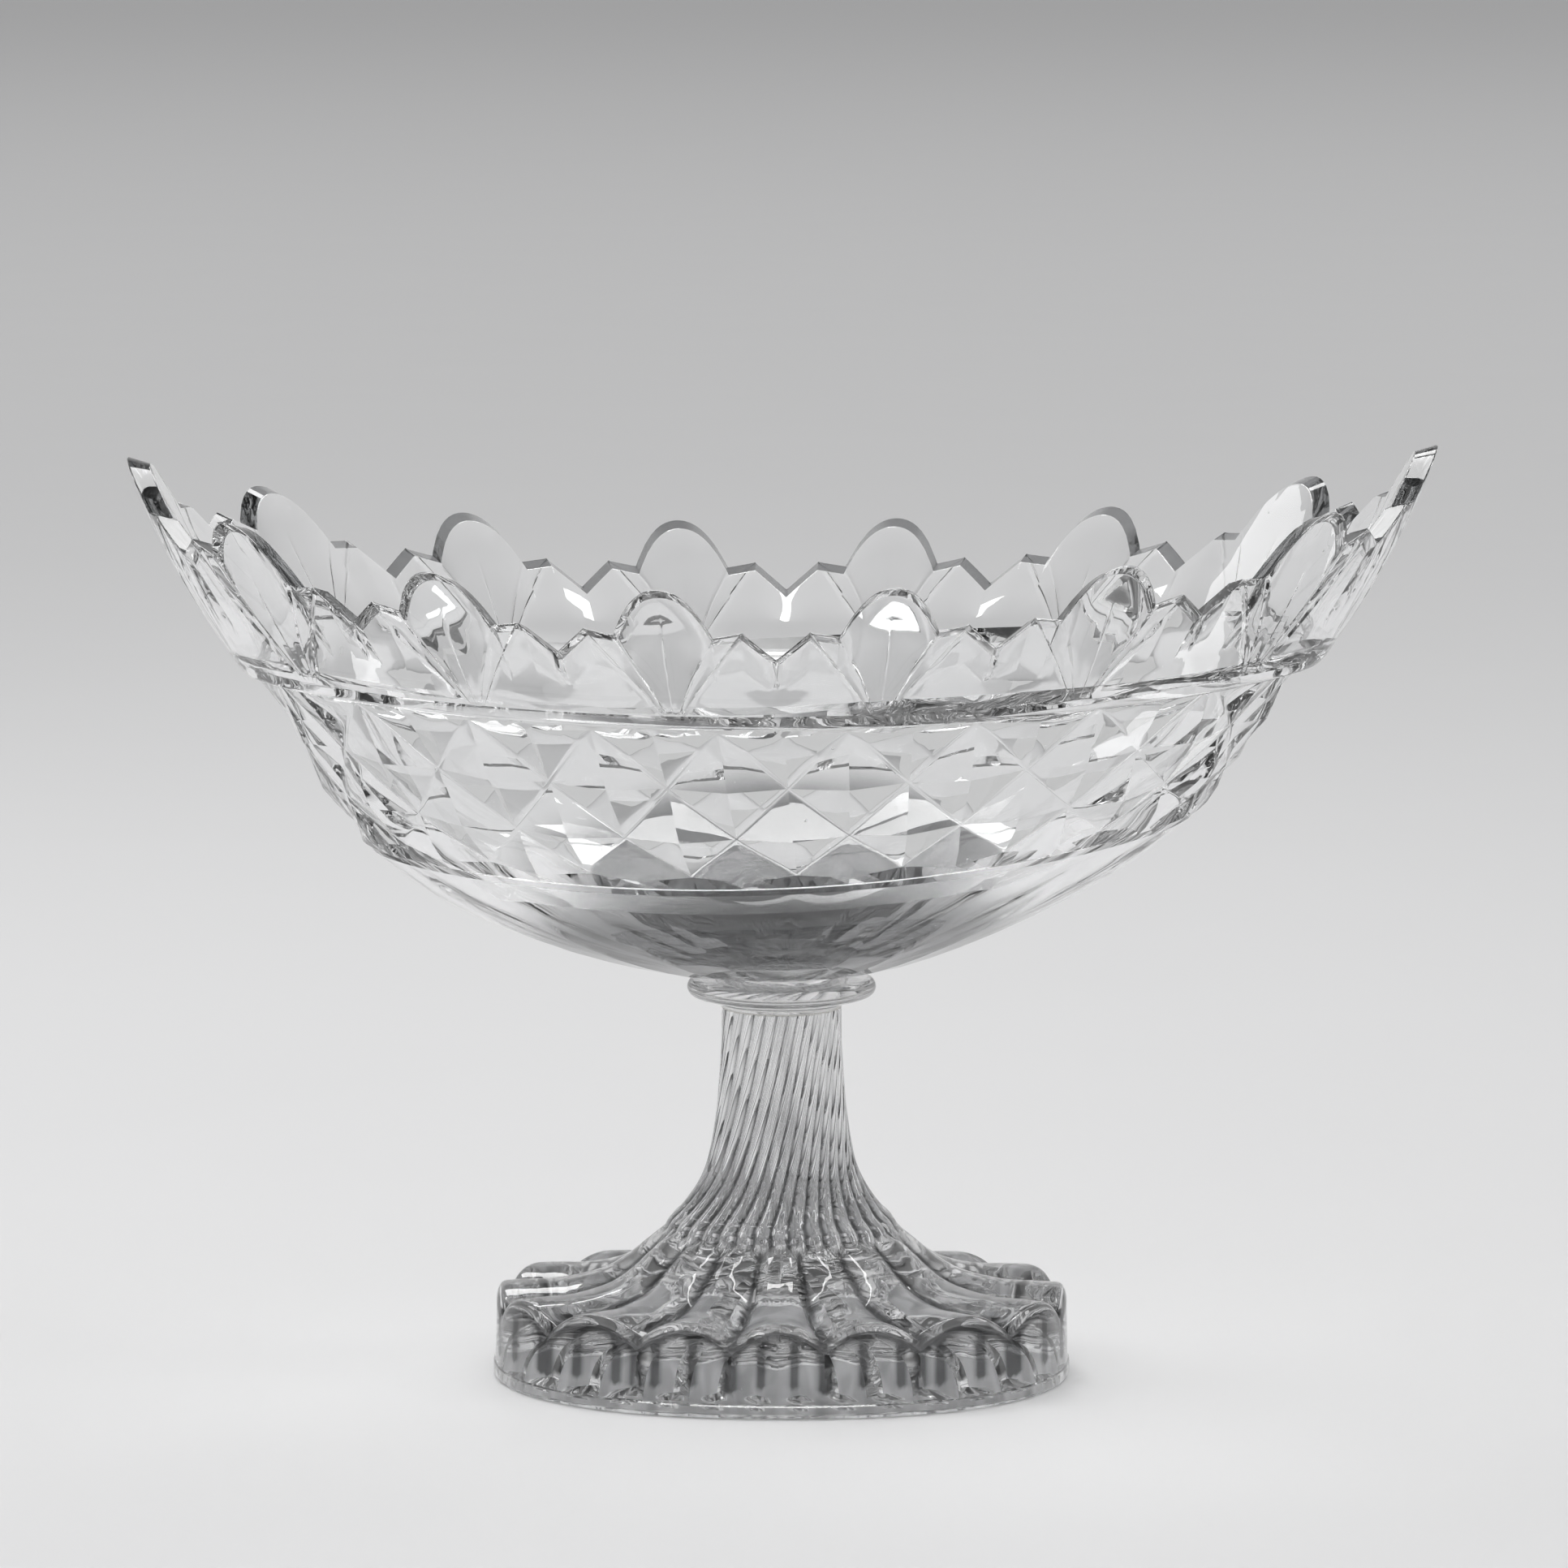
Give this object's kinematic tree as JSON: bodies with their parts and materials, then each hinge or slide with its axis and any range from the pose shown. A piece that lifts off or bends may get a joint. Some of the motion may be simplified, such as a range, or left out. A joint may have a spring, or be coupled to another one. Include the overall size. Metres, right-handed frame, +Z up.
{
  "type": "fruit bowl",
  "caption": "Footed boat-shaped fruit bowl of clear cut glass with a scalloped fan-cut rim, a diamond-cut body, a collar, a twisted ribbed stem and a lobed oval foot",
  "frame": {"origin": "middle of the foot on the plane that it stands on", "axes": "+X along the length of the bowl, +Y across it, +Z up"},
  "size_m": [0.3438, 0.1674, 0.2483],
  "materials": {
    "foot_glass": "moulded clear glass, fire polished",
    "neck_glass": "clear glass, fire polished, with a dull seam",
    "collar_glass": "clear glass, fire polished",
    "pad_glass": "clear glass, fire polished",
    "bowl_glass": "clear glass, wheel cut and polished"
  },
  "bodies": {
    "root": {"stem_foot": "foot_glass", "neck_wafer": "neck_glass", "merese": "collar_glass", "bowl_wafer": "pad_glass", "bowl": "bowl_glass"}
  },
  "joints": []
}
